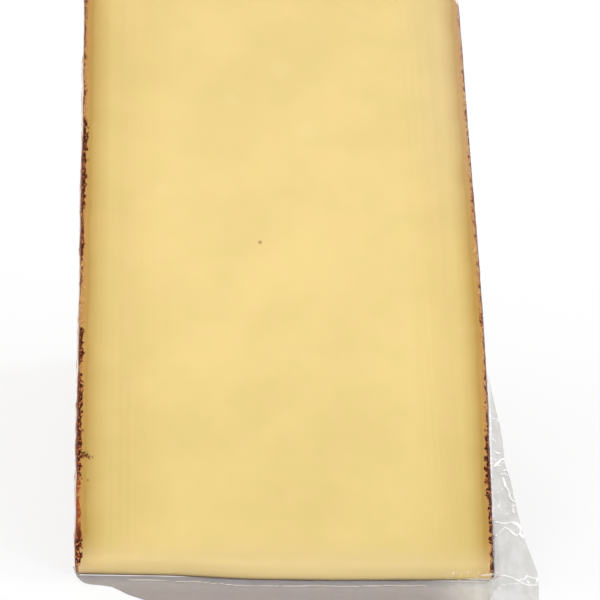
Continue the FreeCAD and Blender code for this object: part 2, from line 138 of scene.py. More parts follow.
def points_of(piece, origin=AXIS):
    """The piece's points as an array, measured from the wheel's axis or another origin."""
    flat = np.empty(len(piece.data.vertices) * 3)
    piece.data.vertices.foreach_get("co", flat)
    return flat.reshape(-1, 3) - np.array(origin)


def put_points(piece, points):
    """Moves the piece's points to these, measured from the wheel's axis."""
    piece.data.vertices.foreach_set("co", (points + np.array(AXIS)).ravel())
    piece.data.update()


def set_group(piece, name, weights):
    """Gives the piece a vertex group with one weight for each point."""
    group = piece.vertex_groups.new(name=name)
    for index, weight in enumerate(weights):
        if weight > 0.001:
            group.add([index], float(weight), "REPLACE")


def clouds(name, size, depth, hard):
    """A noise texture for relief, in lumps of a size in metres."""
    texture = bpy.data.textures.new(name, "CLOUDS")
    texture.noise_scale = size
    texture.noise_depth = depth
    texture.noise_type = "HARD_NOISE" if hard else "SOFT_NOISE"
    return texture


def smoothstep(low_end, high_end, value):
    """0 up to one end and 1 from the other, with a soft rise or fall between them."""
    t = np.clip((value - low_end) / (high_end - low_end), 0, 1)
    return t * t * (3 - 2 * t)


# ================================================================ the cheese
def make_cheese():
    """A whole wheel, cut twice through its axis, softened along the cuts and roughened."""
    bpy.ops.mesh.primitive_cylinder_add(
        vertices=192,
        radius=WHEEL_RADIUS - RIM_BULGE,
        depth=2 * HALF,
        location=AXIS,
        rotation=(0, math.pi / 2, 0),
    )
    cheese = name_new("cheese")

    edit(cheese)
    pick_edges(cheese, lambda a, b: abs(a.x - b.x) < 1e-5)
    bpy.ops.mesh.bevel(offset=SHOULDER, segments=8, profile=0.5, affect="EDGES")
    bpy.ops.mesh.select_all(action="SELECT")
    bpy.ops.mesh.bisect(
        plane_co=AXIS - Vector((0, 0, CUT_OFFSET)),
        plane_no=(0, 0, 1),
        use_fill=True,
        clear_inner=True,
        threshold=1e-6,
    )
    bpy.ops.mesh.select_all(action="SELECT")
    bpy.ops.mesh.bisect(
        plane_co=AXIS + UPPER_NORMAL * CUT_OFFSET,
        plane_no=UPPER_NORMAL,
        use_fill=True,
        clear_outer=True,
        threshold=1e-6,
    )
    knife_y = -CUT_OFFSET / math.tan(MIDDLE)
    pick_edges(
        cheese,
        lambda *ends: all(
            abs(end.y - knife_y) < 1e-5 and abs(end.z + CUT_OFFSET) < 1e-5 for end in ends
        ),
    )
    # In a 45 degree corner this profile comes closest to a true arc.
    bpy.ops.mesh.bevel(
        offset=POINT_RADIUS / math.tan(MIDDLE), segments=8, profile=0.408, affect="EDGES"
    )
    bpy.ops.mesh.select_mode(type="EDGE")
    bpy.ops.mesh.select_all(action="DESELECT")
    bpy.ops.mesh.edges_select_sharp(sharpness=math.radians(50))
    bpy.ops.mesh.bevel(offset=ARRIS, segments=3, profile=0.5, affect="EDGES")
    leave()
    modify(cheese, "REMESH", mode="VOXEL", voxel_size=CHEESE_CELL)
    shape_wheel(cheese)
    roughen_rind(cheese)
    modify(cheese, "DECIMATE", ratio=CHEESE_KEPT)
    only(cheese)
    bpy.ops.object.shade_smooth()
    return cheese


def shape_wheel(cheese):
    """Flattens both cuts, sets the left side in, swells the rim and shapes the point."""
    points = points_of(cheese)
    x, y, z = points.T
    radius = np.hypot(y, z)

    near_enough = 0.12 * MM
    on_lower = np.abs(z + CUT_OFFSET) < near_enough
    z[on_lower] = -CUT_OFFSET
    beyond_upper = -y * math.sin(SECTOR) + z * math.cos(SECTOR) - CUT_OFFSET
    on_upper = np.abs(beyond_upper) < near_enough
    y[on_upper] += (beyond_upper * math.sin(SECTOR))[on_upper]
    z[on_upper] -= (beyond_upper * math.cos(SECTOR))[on_upper]

    beyond_upper = -y * math.sin(SECTOR) + z * math.cos(SECTOR) - CUT_OFFSET
    at_left = (-x / HALF).clip(0, 1)
    x += (LEFT_SET * (1 + 0.5 * np.exp(-((radius / (14 * MM)) ** 2)))) * at_left
    x -= LEFT_LEAN * beyond_upper.clip(None, 0) * at_left

    swell = RIM_BULGE * (1 - (x / HALF) ** 2) * (radius / WHEEL_RADIUS) ** 4
    y += swell * y / np.maximum(radius, MM)
    z += swell * z / np.maximum(radius, MM)

    sunk = (1 - radius / DISH_RADIUS).clip(0, 1) ** DISH_POWER
    x -= SIDE_DISH * sunk * smoothstep(0, 1, (x / HALF).clip(0, 1))

    # Below its middle the point stands nearly upright, down to a small corner.
    centre = (POINT_RADIUS - CUT_OFFSET) / math.sin(MIDDLE)
    ahead, down = centre * math.cos(MIDDLE) - y, centre * math.sin(MIDDLE) - z
    lower = (ahead > 0) & (down > 0) & (np.hypot(ahead, down) < 1.5 * POINT_RADIUS)
    share = np.hypot(ahead, down)[lower]
    power = POINT_POWER
    square = share / ((ahead[lower] ** power + down[lower] ** power) ** (1 / power))
    y[lower] -= ahead[lower] * (square - 1)
    z[lower] -= down[lower] * (square - 1)

    # The soft point swells forward, most of all just left of its middle.
    swollen = smoothstep(-26 * MM, -6 * MM, x) * (1 - smoothstep(0, 42 * MM, x))
    y -= (POINT_SWELL * swollen - POINT_SETBACK) * np.exp(-((radius / (9 * MM)) ** 2))
    put_points(cheese, points)


def rind_share(points):
    """1 on the rind and 0 on the two cuts and the blunted point."""
    x, y, z = points.T
    from_lower = z + CUT_OFFSET
    from_upper = CUT_OFFSET - (-y * math.sin(SECTOR) + z * math.cos(SECTOR))
    inside = np.minimum(from_lower, from_upper)
    at_side = HALF - np.abs(x) < 2.2 * MM
    at_rim = np.hypot(y, z) > WHEEL_RADIUS - RIM_BULGE - SHOULDER
    return smoothstep(0.15 * MM, 1.6 * MM, inside) * (at_side | at_rim)


def roughen_rind(cheese):
    """The rind's relief: broad dents, pits and ridges, and fine crumbs."""
    share = rind_share(points_of(cheese))
    set_group(cheese, "rind", share)
    for name, size, depth, hard, height in (
        ("dents", 17, 1, False, 0.9),
        ("ridges", 4.2, 2, True, -0.7),
        ("crumbs", 1.7, 2, False, 0.42),
    ):
        modify(
            cheese,
            "DISPLACE",
            texture=clouds(name, size * MM, depth, hard),
            texture_coords="LOCAL",
            vertex_group="rind",
            strength=height * MM,
            mid_level=0.5,
        )


# ================================================================ the film
def make_skin(cheese):
    """The film that hugs the cheese: a smoothed shell just outside it, drawn out to the webs."""
    only(cheese)
    bpy.ops.object.duplicate()
    skin = name_new("film_skin")
    modify(skin, "DISPLACE", direction="NORMAL", strength=0.4 * MM, mid_level=0)
    modify(skin, "REMESH", mode="VOXEL", voxel_size=SKIN_CELL)
    modify(skin, "SMOOTH", factor=0.5, iterations=8)
    modify(
        skin,
        "SHRINKWRAP",
        target=cheese,
        wrap_method="NEAREST_SURFACEPOINT",
        wrap_mode="OUTSIDE_SURFACE",
        offset=FILM_LIFT,
    )
    wrinkle_skin(skin)
    only(skin)
    bpy.ops.object.shade_smooth()
    return skin


def folds(run, long_wave, short_wave, short_share, phase, floor):
    """Uneven ridges with flat ground between them, along a run in millimetres."""
    waves = np.sin(run / long_wave) + short_share * np.sin(run / short_wave + phase)
    return np.maximum(waves - floor, 0)


def wrinkle_skin(skin):
    """Draws the film out to the webs, and gathers it in folds that run away from them."""
    points = points_of(skin)
    x, y, z = points.T
    radius = np.hypot(y, z)
    from_middle = -y * math.sin(MIDDLE) + z * math.cos(MIDDLE)
    near = np.exp(-np.abs(from_middle) / (1.3 * MM))
    inside = smoothstep(0, 4 * MM, z + CUT_OFFSET) * smoothstep(
        0, 4 * MM, y * math.sin(SECTOR) - z * math.cos(SECTOR) + CUT_OFFSET
    )

    at_right = smoothstep(HALF - 3 * MM, HALF - 1 * MM, x)
    drawn = smoothstep(4 * MM, 16 * MM, radius) * (1 - smoothstep(70 * MM, 116 * MM, radius))
    x += 0.35 * MM * near * at_right * drawn
    at_rim = smoothstep(WHEEL_RADIUS - 9 * MM, WHEEL_RADIUS - 6 * MM, radius)
    at_rim *= 1 - smoothstep(30 * MM, 38 * MM, np.abs(x))
    out = 1.1 * MM * near * at_rim
    y += out * math.cos(MIDDLE)
    z += out * math.sin(MIDDLE)

    # Folds on the sides run across the middle plane, and folds on the rim away from the seal.
    fade = np.exp(-((from_middle / (16 * MM)) ** 2)) * inside
    along = radius / MM + 2.2 * np.sin(radius / (9.1 * MM) + from_middle / (14 * MM))
    raised = 0.4 * MM * folds(along, 1.9, 1.27, 0.6, 1.3, 0.75) * fade
    side = smoothstep(HALF - 2.5 * MM, HALF - 1 * MM, np.abs(x)) * (radius < WHEEL_RADIUS - 9 * MM)
    x += np.sign(x) * raised * side * smoothstep(8 * MM, 30 * MM, radius)
    across = x / MM + 1.6 * np.sin(from_middle / (11 * MM) + x / (17 * MM))
    out = 0.5 * MM * folds(across, 1.7, 1.13, 0.7, 2.1, 0.7) * fade * at_rim
    y += out * y / np.maximum(radius, MM)
    z += out * z / np.maximum(radius, MM)
    put_points(skin, points)


def arc_points(centre, radius, start, end, steps=12):
    """Points of an arc, from one angle in degrees to another."""
    angles = np.radians(np.linspace(start, end, steps))
    return [(centre[0] + radius * math.cos(a), centre[1] + radius * math.sin(a)) for a in angles]


def front_outline():
    """The edge of the front web and the ear, in millimetres: across, and along the web's run."""
    left = [(-44.0, 9.5), (-43.9, 8.5), (-43.6, 6.3), (-43.2, 4.2), (-42.8, 3.2), (-42.4, 2.1)]
    left += [(-41.7, 0.9), (-40.4, 0.2), (-38.6, -0.1), (-36.2, -0.9), (-34.7, -2.7), (-33.2, -4.7)]
    front = arc_points((2.7, -28), 6, 220, 270) + arc_points((44.4, -28), 6, 270, 360)
    side = [(50.4, -4), (51.2, 0), (51.5, 3), (51.6, 5), (51.3, 7.5), (50.8, 11.5), (50.3, 16)]
    side += [(50.0, 26), (49.9, 33), (49.5, 38.5), (50.0, 43), (50.3, 50), (50.2, 57), (50.0, 65)]
    ear = arc_points((50.0 - 144, 76), 144, 0, 18, 14)
    inside = [(41.4, ear[-1][1]), (41.4, 4.6), (-42.6, 4.6), (-43.0, 6.6), (-43.2, 9.5)]
    return np.array(left + front + side + ear + inside)


def back_outline():
    """The edge of the web behind the rim, in millimetres: across, and from the wheel's axis."""
    right = arc_points((31, 174.4), 6, 0, 90)
    left = arc_points((-31, 174.4), 6, 90, 180)
    return np.array([(37, 157)] + right + left + [(-37, 157)])


def inside_of(outline, places):
    """Which places lie within a closed outline."""
    x, v = places.T
    found = np.zeros(len(places), bool)
    for (x0, v0), (x1, v1) in zip(outline, np.roll(outline, -1, axis=0)):
        spans = (v0 > v) != (v1 > v)
        if spans.any():
            found ^= spans & (x < (x1 - x0) * (v - v0) / (v1 - v0 + 1e-12) + x0)
    return found


def nearest_on(line, places, closed=True):
    """The nearest place on a run of straight pieces, and how far off it is."""
    best = np.full(len(places), np.inf)
    nearest = places.copy()
    ends = np.roll(line, -1, axis=0) if closed else line[1:]
    for start, end in zip(line, ends):
        step = end - start
        share = ((places - start) @ step / max(step @ step, 1e-12)).clip(0, 1)
        foot = start + share[:, None] * step
        away = np.hypot(*(places - foot).T)
        closer = away < best
        best[closer] = away[closer]
        nearest[closer] = foot[closer]
    return nearest, best


def make_sheet(name, outline, finer=None):
    """A flat grid, trimmed to an outline in millimetres, its edge drawn onto it.

    Where finer says so of a face's middle, the face is split in four.
    """
    least, most = outline.min(axis=0), outline.max(axis=0)
    span = most - least
    cell = WEB_CELL / MM
    bpy.ops.mesh.primitive_grid_add(
        x_subdivisions=int(span[0] / cell), y_subdivisions=int(span[1] / cell), size=1
    )
    sheet = bpy.context.object
    sheet.scale = (span[0] * MM, span[1] * MM, 1)
    sheet.location = (*((least + most) / 2 * MM), 0)
    sheet = name_new(name)

    edit(sheet)
    bpy.ops.mesh.select_mode(type="FACE")
    bpy.ops.mesh.select_all(action="DESELECT")
    mesh = bmesh.from_edit_mesh(sheet.data)
    centres = np.array([face.calc_center_median()[:2] for face in mesh.faces]) / MM
    kept = inside_of(outline, centres)
    for face, keep in zip(mesh.faces, kept):
        face.select_set(not keep)
    bmesh.update_edit_mesh(sheet.data)
    bpy.ops.mesh.delete(type="FACE")
    mesh = bmesh.from_edit_mesh(sheet.data)
    edge = [v for v in mesh.verts if v.is_boundary]
    drawn, _ = nearest_on(outline, np.array([v.co[:2] for v in edge]) / MM)
    for vert, place in zip(edge, drawn):
        vert.co.x, vert.co.y = place * MM
    if finer:
        for face in mesh.faces:
            face.select_set(finer(*face.calc_center_median()[:2]))
        bmesh.update_edit_mesh(sheet.data)
        bpy.ops.mesh.subdivide(number_cuts=1)
    leave()
    return sheet


def sheet_places(sheet):
    """Where a flat sheet's points lie, in millimetres: across, and along the web's run."""
    return points_of(sheet, origin=(0, 0, 0))[:, :2] / MM


def wavy(places, size, seed):
    """Smooth seeded noise about nought, of a size in millimetres."""
    return np.array([noise.noise(Vector((x / size, v / size, seed))) for x, v in places])


def off_line(places, line):
    """How far each place is from an open line."""
    return nearest_on(np.array(line, float), places, closed=False)[1]


def seal_ribs(v, start, wave):
    """The rounded ribs of a heat seal, and the ground between them, from a start onwards."""
    return np.maximum(np.sin((v - start) / wave * 2 * math.pi), 0)


# Creases of the ear and the front web, in millimetres: how bold, how wide, and the places they run
# through, each across and along the web's run.
CREASES = (
    (0.14, 0.2, ((48.8, 53.5), (49.3, 53.7), (49.7, 53.5))),
    (0.14, 0.2, ((50.0, 53.9), (50.1, 53.1), (49.9, 52.5))),
    (0.12, 0.25, ((47.9, 46.6), (48.1, 46.1), (48.3, 45.6))),
    (0.15, 0.35, ((47.9, 42.8), (48.3, 42.1), (48.9, 41.7))),
    (0.25, 0.5, ((47.1, 37.2), (48.1, 38.4), (48.7, 39.3), (49.8, 39.7))),
    (0.12, 0.25, ((47.6, 37.4), (48.5, 37.6))),
    (0.12, 0.25, ((48.9, 38.4), (49.6, 38.5), (49.7, 38.1))),
    (0.15, 0.25, ((49.1, 35.8), (49.5, 36.2), (49.7, 35.7))),
    (0.15, 0.25, ((48.3, 34.6), (49.0, 34.8), (49.5, 34.0))),
    (
        0.28,
        0.32,
        (
            (48.4, 33.3), (48.4, 32.0), (48.6, 30.5), (49.0, 28.9), (49.2, 27.4), (49.6, 26.3),
            (50.0, 25.7),
        ),
    ),
    (0.16, 0.22, ((46.5, 28.7), (47.3, 29.3), (47.8, 30.0))),
    (0.16, 0.22, ((45.7, 24.1), (46.2, 24.4), (46.5, 25.1), (46.7, 26.2))),
    (0.14, 0.2, ((48.7, 24.5), (49.5, 24.9), (49.9, 24.6))),
    (0.14, 0.2, ((49.1, 23.8), (49.3, 22.6))),
    (0.14, 0.2, ((47.7, 22.4), (47.8, 21.9))),
    (0.30, 0.35, ((44.8, 19.8), (46.3, 19.5), (47.8, 19.5), (48.9, 19.4))),
    (0.30, 0.6, ((48.9, 19.3), (49.6, 18.9), (49.9, 18.1))),
    (0.22, 0.3, ((49.9, 18.1), (50.0, 17.1), (49.6, 15.9))),
    (
        0.22,
        0.24,
        (
            (44.3, 15.5), (45.4, 16.7), (46.6, 18.0), (47.3, 17.7), (48.0, 16.5), (48.9, 15.8),
            (49.6, 15.9),
        ),
    ),
    (0.14, 0.24, ((49.6, 15.9), (50.3, 14.9))),
    (
        0.22,
        0.22,
        (
            (41.2, 3.9), (42.6, 4.2), (44.3, 3.9), (45.5, 3.4), (46.5, 2.8), (47.2, 2.2),
            (48.0, 1.5), (48.8, 1.1), (50.1, 1.0), (51.1, 0.9),
        ),
    ),
    (0.18, 0.2, ((47.5, 2.6), (48.5, 2.6), (49.2, 3.7), (50.1, 3.2), (51.4, 3.0))),
    (0.15, 0.2, ((51.3, 3.0), (50.9, 1.3))),
    (0.12, 0.3, ((49.1, 2.3), (49.2, 1.7))),
    (0.08, 0.2, ((43.3, 1.2), (45.1, 1.3), (46.9, 1.5))),
    (0.22, 0.35, ((-33, 2.6), (-25.9, 2.4), (-18.8, 1.9), (-9.2, 0.2), (2, 0.5), (28, 1.9))),
)

# The painted highlight line where the ear leaves the right side: how far along, and how far across.
EAR_ROOT = (
    (5, 42.7), (9, 43.3), (16, 44.1), (20, 44.6), (31, 45.9), (43, 47.4), (55, 48.9), (63, 49.7),
    (68, 50.2),
)


def warped(places):
    """The places shifted a little by noise, so that straight creases run unevenly."""
    shift = np.column_stack((wavy(places, 2.2, 13.7), wavy(places, 2.2, 17.3)))
    return places + 0.25 * shift


def whiten_creases(web, places):
    """Keeps how near each point is to a crease, for the web's material, where it sets the painted
    glints: on the creases, along the ear's root and in a net of fine lines.
    """
    white = np.zeros(len(places))
    uneven = warped(places)
    for bold, width, line in CREASES:
        lit = np.exp(-((off_line(uneven, line) / (0.62 * width)) ** 4))
        white = np.maximum(white, min(bold / 0.14, 1) * lit)
    white *= smoothstep(-0.7, -0.3, wavy(places, 1.4, 21.9))
    x, v = places.T
    # A painted highlight line along the ear's root.
    root = np.interp(v, *zip(*EAR_ROOT))
    white = np.maximum(white, 0.6 * smoothstep(root + 0.12, root - 0.08, x) * smoothstep(3.5, 5, v))
    # Painted glints: a net of fine white lines where the ear is crumpled most.
    crumpled = smoothstep(43, 45, x) * smoothstep(56, 46, v) * smoothstep(14, 19, v)
    crackle = 1 - np.abs(wavy(places, 1.7, 11.3)) / 0.05
    patchy = smoothstep(0.0, 0.25, wavy(places, 4.5, 6.1))
    white = np.maximum(white, 0.8 * crackle.clip(0, 1) * crumpled * patchy)
    kept = web.data.attributes.new("crease_glint", "FLOAT", "POINT")
    kept.data.foreach_set("value", white.clip(0, 1).astype(np.float32))


def web_relief(places):
    """How far the front web and the ear stand off their flat run, in millimetres."""
    x, v = places.T
    ear = smoothstep(42, 45, x) * smoothstep(1, 5, v)
    relief = 0.5 * wavy(places, 9.0, 3.1) * (0.35 + 0.65 * ear)
    crumpled = ear * smoothstep(58, 50, v) * smoothstep(12, 17, v)
    relief += 0.16 * wavy(places, 1.9, 7.7) * (0.1 + crumpled)
    relief += 0.10 * wavy(places, 0.95, 1.7) * crumpled
    uneven = warped(places)
    for bold, width, line in CREASES:
        relief += 0.55 * bold * np.exp(-off_line(uneven, line) / width)
    in_seal = (v > -30.2) * (v < -22.8)
    relief += 0.14 * seal_ribs(v, -30, 1.75) * in_seal * smoothstep(-30, -18, x)
    # The open end lifts a little off the table here and there.
    relief += 1.1 * np.maximum(wavy(places, 21.0, 5.3), 0) * smoothstep(-16, -34, v)
    return relief


def creased(x, v):
    """Where the front web needs a finer mesh for its creases, in metres."""
    return x > 41.5 * MM and -1 * MM < v < 69 * MM


def make_front_web():
    """The web out of the point, along the table, and its ear, which stands in the middle plane."""
    web = make_sheet("film_web", front_outline(), creased)
    places = sheet_places(web)
    whiten_creases(web, places)
    relief = web_relief(places) * MM
    x, v = places.T * MM

    table = TABLE + SHEET / 2 + TABLE_GAP
    run = WEB_BEND * math.tan(MIDDLE / 2)
    bend_y = table / math.tan(MIDDLE) - run
    slope_from = table / math.sin(MIDDLE) + run
    bend_from = slope_from - WEB_BEND * MIDDLE
    turn = ((v - bend_from) / WEB_BEND).clip(0, MIDDLE)
    y = bend_y + WEB_BEND * np.sin(turn) + np.minimum(v - bend_from, 0)
    z = table + WEB_BEND * (1 - np.cos(turn))
    y += np.maximum(v - slope_from, 0) * math.cos(MIDDLE)
    z += np.maximum(v - slope_from, 0) * math.sin(MIDDLE)

    # Before the point the web lies on the table; only the ear stays in the middle plane.
    standing = smoothstep(40.5 * MM, 44.5 * MM, x)
    y = bend_y + (v - bend_from) + standing * (y - bend_y - (v - bend_from))
    z = table + standing * (z - table)
    turn = turn * standing

    on_table = 1 - smoothstep(0, 1, turn / MIDDLE)
    relief = relief * (1 - on_table) + np.maximum(relief, 0) * on_table
    y -= relief * np.sin(turn)
    z += relief * np.cos(turn)
    put_points(web, np.column_stack((x, y, np.maximum(z, table))))
    return finish_sheet(web)


def make_back_web():
    """The web behind the rim, with the ribs of its heat seal and a slack free end."""
    web = make_sheet("film_seal", back_outline())
    places = sheet_places(web)
    x, v = places.T
    free = smoothstep(163, 181, v)  # how little the cheese holds it still
    lift = 2.4 * wavy(places, 26.0, 9.4) * free + 0.5 * wavy(places, 7.0, 2.8) * (0.3 + free)
    lift += 0.08 * wavy(places, 1.6, 4.9)
    start, length, ribs = 168.6, 7.8, 4.5
    in_seal = (v > start) * (v < start + length)
    lift += 0.16 * seal_ribs(v, start, length / ribs) * in_seal * smoothstep(36, 33, np.abs(x))
    y = v * math.cos(MIDDLE) - lift * math.sin(MIDDLE)
    z = v * math.sin(MIDDLE) + lift * math.cos(MIDDLE)
    put_points(web, np.column_stack((x, y, z)) * MM)
    return finish_sheet(web)


def finish_sheet(web):
    """Gives a sheet its thickness, with its faces outwards."""
    modify(web, "SOLIDIFY", thickness=SHEET, offset=0)
    edit(web)
    bpy.ops.mesh.select_all(action="SELECT")
    bpy.ops.mesh.normals_make_consistent(inside=False)
    leave()
    only(web)
    bpy.ops.object.shade_smooth_by_angle(angle=math.radians(50))
    return web


# ================================================================ materials
def srgb(red, green, blue):
    """A colour given as it looks, 0 to 255, in the numbers that a shader takes."""
    linear = [
        c / 12.92 if c <= 0.04045 else ((c + 0.055) / 1.055) ** 2.4
        for c in (red / 255, green / 255, blue / 255)
    ]
    return (*linear, 1.0)


class Shading:
    """The node tree of a material or a world, built a node at a time."""

    def __init__(self, owner, output="OutputMaterial"):
        owner.use_nodes = True
        self.owner = owner
        self.tree = owner.node_tree
        self.tree.nodes.clear()
        self.output = self.node(output)

    def node(self, kind, settings=None, **inputs):
        """A node of a kind, with its inputs by name, where _ stands for a space."""
        node = self.tree.nodes.new("ShaderNode" + kind)
        for key, value in (settings or {}).items():
            setattr(node, key, value)
        for key, value in inputs.items():
            self.feed(node, key.replace("_", " "), value)
        return node

    def feed(self, node, key, value):
        """Links an input to another node's output, or sets it to a value."""
        socket = node.inputs[int(key) if key.isdigit() else key]
        if isinstance(value, bpy.types.NodeSocket):
            self.tree.links.new(value, socket)
        else:
            socket.default_value = value

    def math(self, operation, *values, clamp=False):
        node = self.node("Math", {"operation": operation, "use_clamp": clamp})
        for index, value in enumerate(values):
            self.feed(node, str(index), value)
        return node.outputs[0]

    def times(self, *values):
        """The product of two or more values."""
        product = values[0]
        for value in values[1:]:
            product = self.math("MULTIPLY", product, value)
        return product

    def moved(self, value, noise, reach):
        """A value moved by noise about 0.5, by up to half a reach either way."""
        return self.math("ADD", value, self.times(self.math("SUBTRACT", noise, 0.5), reach))

    def blend(self, share, first, second):
        """One shader, with a share of another over it."""
        node = self.node("MixShader", **{"0": share, "1": first, "2": second})
        return node.outputs[0]

    def mix(self, share, first, second, blend="MIX"):
        node = self.node("Mix", {"data_type": "RGBA", "blend_type": blend})
        for index, value in ((0, share), (6, first), (7, second)):
            self.feed(node, str(index), value)
        return node.outputs[2]

    def step(self, value, low_end, high_end, low_out=0.0, high_out=1.0, smooth=True):
        """A rise, or a fall, from one number to another between two ends."""
        kind = "SMOOTHSTEP" if smooth else "LINEAR"
        node = self.node("MapRange", {"interpolation_type": kind})
        for index, number in enumerate((value, low_end, high_end, low_out, high_out)):
            self.feed(node, str(index), number)
        return node.outputs[0]

    def noise(self, place, scale, detail=2.0, roughness=0.5, stretch=None, shift=(0, 0, 0)):
        """Noise about 0.5, a pattern of 1/scale millimetres."""
        where = self.node("Mapping", Vector=place, Location=shift)
        if stretch:
            self.feed(where, "Scale", stretch)
        node = self.node(
            "TexNoise", Vector=where.outputs[0], Scale=scale, Detail=detail, Roughness=roughness
        )
        return node.outputs[0]

    def ramp(self, value, stops):
        """Colours, or greys given as one number, along a value from 0 to 1."""
        node = self.node("ValToRGB", Fac=value)
        elements = node.color_ramp.elements
        while len(elements) < len(stops):
            elements.new(0.5)
        for element, (position, colour) in zip(elements, stops):
            element.position = position
            element.color = colour if isinstance(colour, tuple) else (colour, colour, colour, 1)
        return node.outputs[0]

    def wedge_place(self):
        """Millimetres from the wheel's axis, as a vector and as three numbers."""
        where = self.node("Mapping", Vector=self.node("TexCoord").outputs["Object"])
        self.feed(where, "Location", tuple(-c / MM for c in AXIS))
        self.feed(where, "Scale", (1 / MM, 1 / MM, 1 / MM))
        split = self.node("SeparateXYZ", Vector=where.outputs[0])
        return where.outputs[0], split.outputs[0], split.outputs[1], split.outputs[2]

    def finish(self, shader):
        self.tree.links.new(shader, self.output.inputs[0])
        return self.owner


def surface(name):
    return Shading(bpy.data.materials.new(name))


def rind_depth(s, x, radius, below):
    """How far below the wheel's own surface a point lies, in millimetres."""
    half, crown, shoulder = HALF / MM, WHEEL_RADIUS / MM, SHOULDER / MM
    sunk = s.step(radius, DISH_RADIUS / MM, 0.0, smooth=False)
    sunk = s.times(s.math("POWER", sunk, DISH_POWER), SIDE_DISH / MM)
    right = s.math("SUBTRACT", s.math("SUBTRACT", half, x), sunk)
    lean = s.times(s.math("MAXIMUM", below, 0.0), LEFT_LEAN)
    left = s.math("SUBTRACT", s.math("ADD", half - LEFT_SET / MM, x), lean)
    side = s.math("MINIMUM", right, left)
    bulge = s.times(x, x, RIM_BULGE / MM / half**2)
    rim = s.math("SUBTRACT", s.math("SUBTRACT", crown, bulge), radius)
    to_side = s.math("SUBTRACT", shoulder, side)
    to_rim = s.math("SUBTRACT", shoulder, rim)
    corner = s.node(
        "CombineXYZ", X=s.math("MAXIMUM", to_side, 0.0), Y=s.math("MAXIMUM", to_rim, 0.0)
    )
    length = s.node("VectorMath", {"operation": "LENGTH"}, **{"0": corner.outputs[0]})
    inner = s.math("MINIMUM", s.math("MAXIMUM", to_side, to_rim), 0.0)
    return s.math("SUBTRACT", s.math("SUBTRACT", shoulder, length.outputs["Value"]), inner)


# How thickly the dark rind lies beside the upper cut, by the distance from the point.
LEFT_CRUST = (
    (0, 0.3), (4, 0.9), (5, 1.3), (10, 1.25), (13, 0.8), (15, 0.95), (17, 0.7), (20, 0.75),
    (22, 0.9), (42, 1.0), (47, 0.75), (49, 0.2), (50, 0.9), (58, 1.0), (59, 0.2), (68, 0.15),
    (70, 0.7), (74, 0.25), (76, 0.75), (83, 0.65), (86, 0.35), (89, 0.8), (95, 1.0), (110, 1.1),
    (113, 0.2), (117, 0.65), (120, 0.7), (123, 0.3), (128, 0.5), (150, 0.5),
    (WHEEL_RADIUS / MM, 0.4),
)
RIGHT_CRUST = (
    (0, 0.1), (3, 0.3), (5, 0.75), (9, 0.75), (18, 0.8), (21, 1.15), (33, 1.1), (37, 0.6),
    (44, 0.45), (46, 0.6), (52, 0.45), (60, 0.45), (63, 0.75), (66, 0.4), (74, 0.5), (82, 0.35),
    (88, 0.55), (95, 0.7), (99, 0.4), (108, 0.5), (112, 0.4), (118, 0.5), (122, 0.3), (132, 0.5),
    (136, 0.35), (148, 0.5), (WHEEL_RADIUS / MM, 0.4),
)

# Pale flecks in the upper cut, in millimetres: across, from the wheel's axis, and how large.
FLECKS = (
    (7.0, 110.6, 2.2),
    (-9.9, 118.3, 1.6),
    (1.1, 127.1, 2.0),
    (-25.8, 93.8, 1.6),
    (-14.8, 146.4, 0.8),
    (38.9, 60.1, 0.7),
    (-4.2, 80.9, 0.45),
)


def spot(s, x, along, centre, size, edge=0.4):
    """1 within a round spot on the upper cut and 0 outside it."""
    away = s.node(
        "VectorMath",
        {"operation": "DISTANCE"},
        **{"0": s.node("CombineXYZ", X=x, Y=along).outputs[0], "1": (*centre, 0)},
    ).outputs["Value"]
    return s.step(away, size * (1 + edge), size * (1 - edge))


